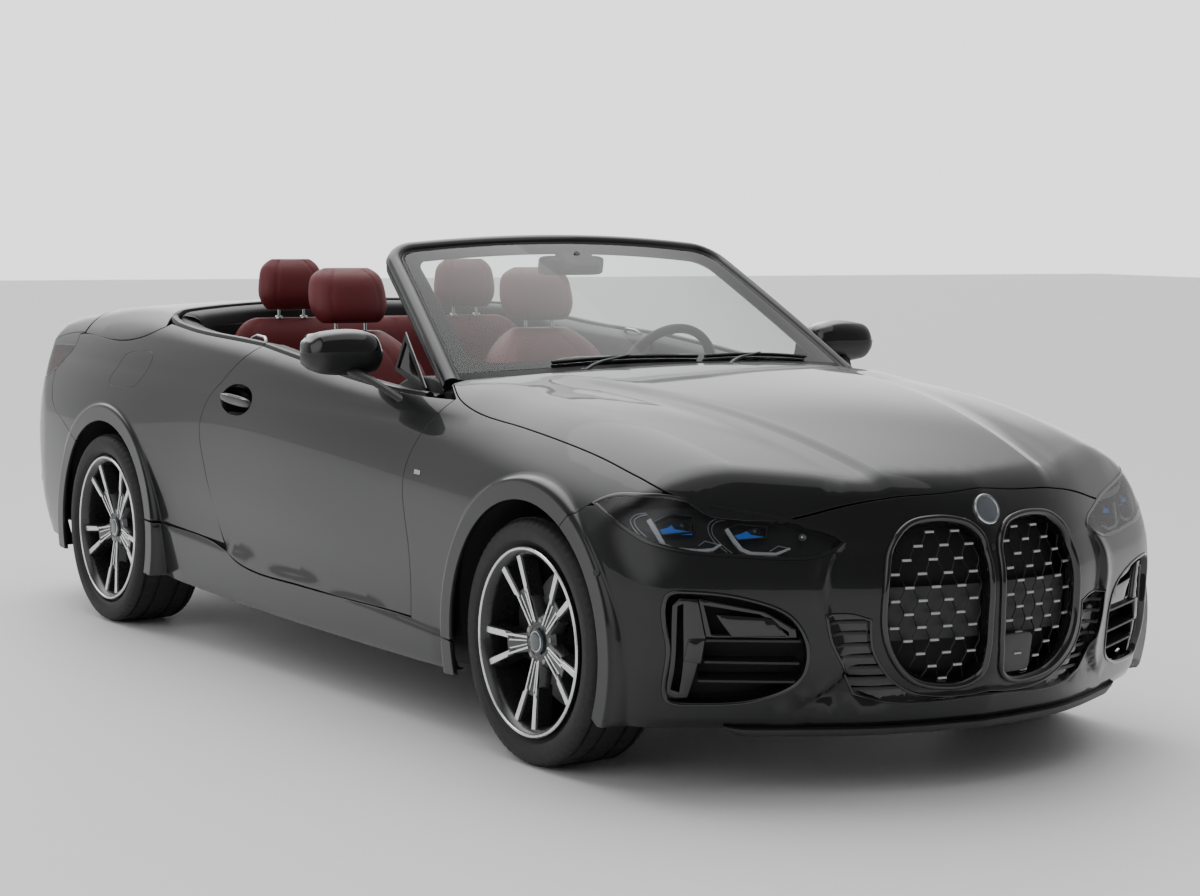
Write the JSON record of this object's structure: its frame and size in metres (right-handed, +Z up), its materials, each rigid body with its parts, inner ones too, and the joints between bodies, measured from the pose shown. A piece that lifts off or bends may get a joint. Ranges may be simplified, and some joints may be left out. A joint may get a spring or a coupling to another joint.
{
  "type": "four-seat convertible car",
  "caption": "Open four-seat convertible car with twin upright grille, split-spoke wheels, opening doors, hood and lids, steered front wheels.",
  "frame": {"origin": "ground level under the centre of the car's overall box", "axes": "+X forward along the car, +Y to the car's left, +Z up"},
  "size_m": [4.768, 2.08, 1.3824],
  "materials": {
    "paint": "gloss metallic",
    "black_plastic": "satin",
    "underbody_metal": "matte",
    "lamp_glass": "gloss",
    "gloss_black": "gloss",
    "windshield_glass": "clear, lightly tinted",
    "cast_metal": "cast",
    "exhaust_steel": "brushed",
    "seat_leather": "satin",
    "wheel_alloy": "machined",
    "tyre": "matte"
  },
  "bodies": {
    "body": {"underbody": "underbody_metal", "side_skirts": "paint", "fender_L": "paint", "fender_R": "paint", "quarter_L": "paint", "quarter_R": "paint", "front_bumper": "paint", "rear_bumper": "paint", "tail_lamps": "lamp_glass", "rear_trim": "black_plastic", "headlights": "lamp_glass", "grille": "gloss_black", "front_trim": "black_plastic", "windshield_glass": "windshield_glass", "windshield_frame": "paint", "interior_mirror": "black_plastic", "cowl": "black_plastic", "front_axle": "cast_metal", "rear_axle": "cast_metal", "engine_block": "cast_metal", "exhaust": "exhaust_steel", "dashboard": "black_plastic", "console": "black_plastic", "seat_L": "seat_leather", "seat_R": "seat_leather", "rear_seat": "seat_leather", "rear_deck": "black_plastic"},
    "hood": {"hood": "paint"},
    "door_L": {"door_L": "paint", "mirror_L": "gloss_black"},
    "door_R": {"door_R": "paint", "mirror_R": "gloss_black"},
    "trunk_lid": {"trunk_lid": "paint"},
    "roof_lid": {"roof_lid": "paint"},
    "steering_wheel": {"steering_wheel": "black_plastic"},
    "knuckle_L": {"knuckle_L": "cast_metal"},
    "knuckle_R": {"knuckle_R": "cast_metal"},
    "wheel_FL": {"rim_FL": "wheel_alloy", "tyre_FL": "tyre"},
    "wheel_FR": {"rim_FR": "wheel_alloy", "tyre_FR": "tyre"},
    "wheel_RL": {"rim_RL": "wheel_alloy", "tyre_RL": "tyre"},
    "wheel_RR": {"rim_RR": "wheel_alloy", "tyre_RR": "tyre"}
  },
  "joints": [
    {"name": "steer_R", "type": "hinge", "parent": "body", "child": "knuckle_R", "pos_m": [1.537, -0.7, 0.331], "axis": [0, 0, 1], "range_deg": [-35, 35]},
    {"name": "steer_L", "type": "hinge", "parent": "body", "child": "knuckle_L", "pos_m": [1.537, 0.7, 0.331], "axis": [0, 0, 1], "range_deg": [-35, 35]},
    {"name": "steering_wheel_turn", "type": "hinge", "parent": "body", "child": "steering_wheel", "pos_m": [0.3, 0.37, 0.934], "axis": [-0.9063, 0, 0.4226], "range_deg": [-490, 490]},
    {"name": "wheel_FR_spin", "type": "hinge", "parent": "knuckle_R", "child": "wheel_FR", "pos_m": [1.537, -0.788, 0.331], "axis": [0, 1, 0], "continuous": true},
    {"name": "wheel_FL_spin", "type": "hinge", "parent": "knuckle_L", "child": "wheel_FL", "pos_m": [1.537, 0.788, 0.331], "axis": [0, 1, 0], "continuous": true},
    {"name": "wheel_RR_spin", "type": "hinge", "parent": "body", "child": "wheel_RR", "pos_m": [-1.314, -0.8, 0.331], "axis": [0, 1, 0], "continuous": true},
    {"name": "wheel_RL_spin", "type": "hinge", "parent": "body", "child": "wheel_RL", "pos_m": [-1.314, 0.8, 0.331], "axis": [0, 1, 0], "continuous": true},
    {"name": "door_R_hinge", "type": "hinge", "parent": "body", "child": "door_R", "pos_m": [0.955, -0.903, 0.62], "axis": [0, 0, 1], "range_deg": [0, 65]},
    {"name": "door_L_hinge", "type": "hinge", "parent": "body", "child": "door_L", "pos_m": [0.955, 0.903, 0.62], "axis": [0, 0, -1], "range_deg": [0, 65]},
    {"name": "hood_hinge", "type": "hinge", "parent": "body", "child": "hood", "pos_m": [0.855, 0, 1], "axis": [0, -1, 0], "range_deg": [0, 50]},
    {"name": "trunk_lid_hinge", "type": "hinge", "parent": "body", "child": "trunk_lid", "pos_m": [-1.756, 0, 1.11], "axis": [0, 1, 0], "range_deg": [0, 65]},
    {"name": "roof_lid_hinge", "type": "hinge", "parent": "body", "child": "roof_lid", "pos_m": [-1.744, 0, 1.11], "axis": [0, -1, 0], "range_deg": [0, 45]}
  ],
  "couplings": [
    {"joint": "steer_L", "follows": "steer_R", "ratio": 1},
    {"joint": "steering_wheel_turn", "follows": "steer_R", "ratio": 14}
  ]
}
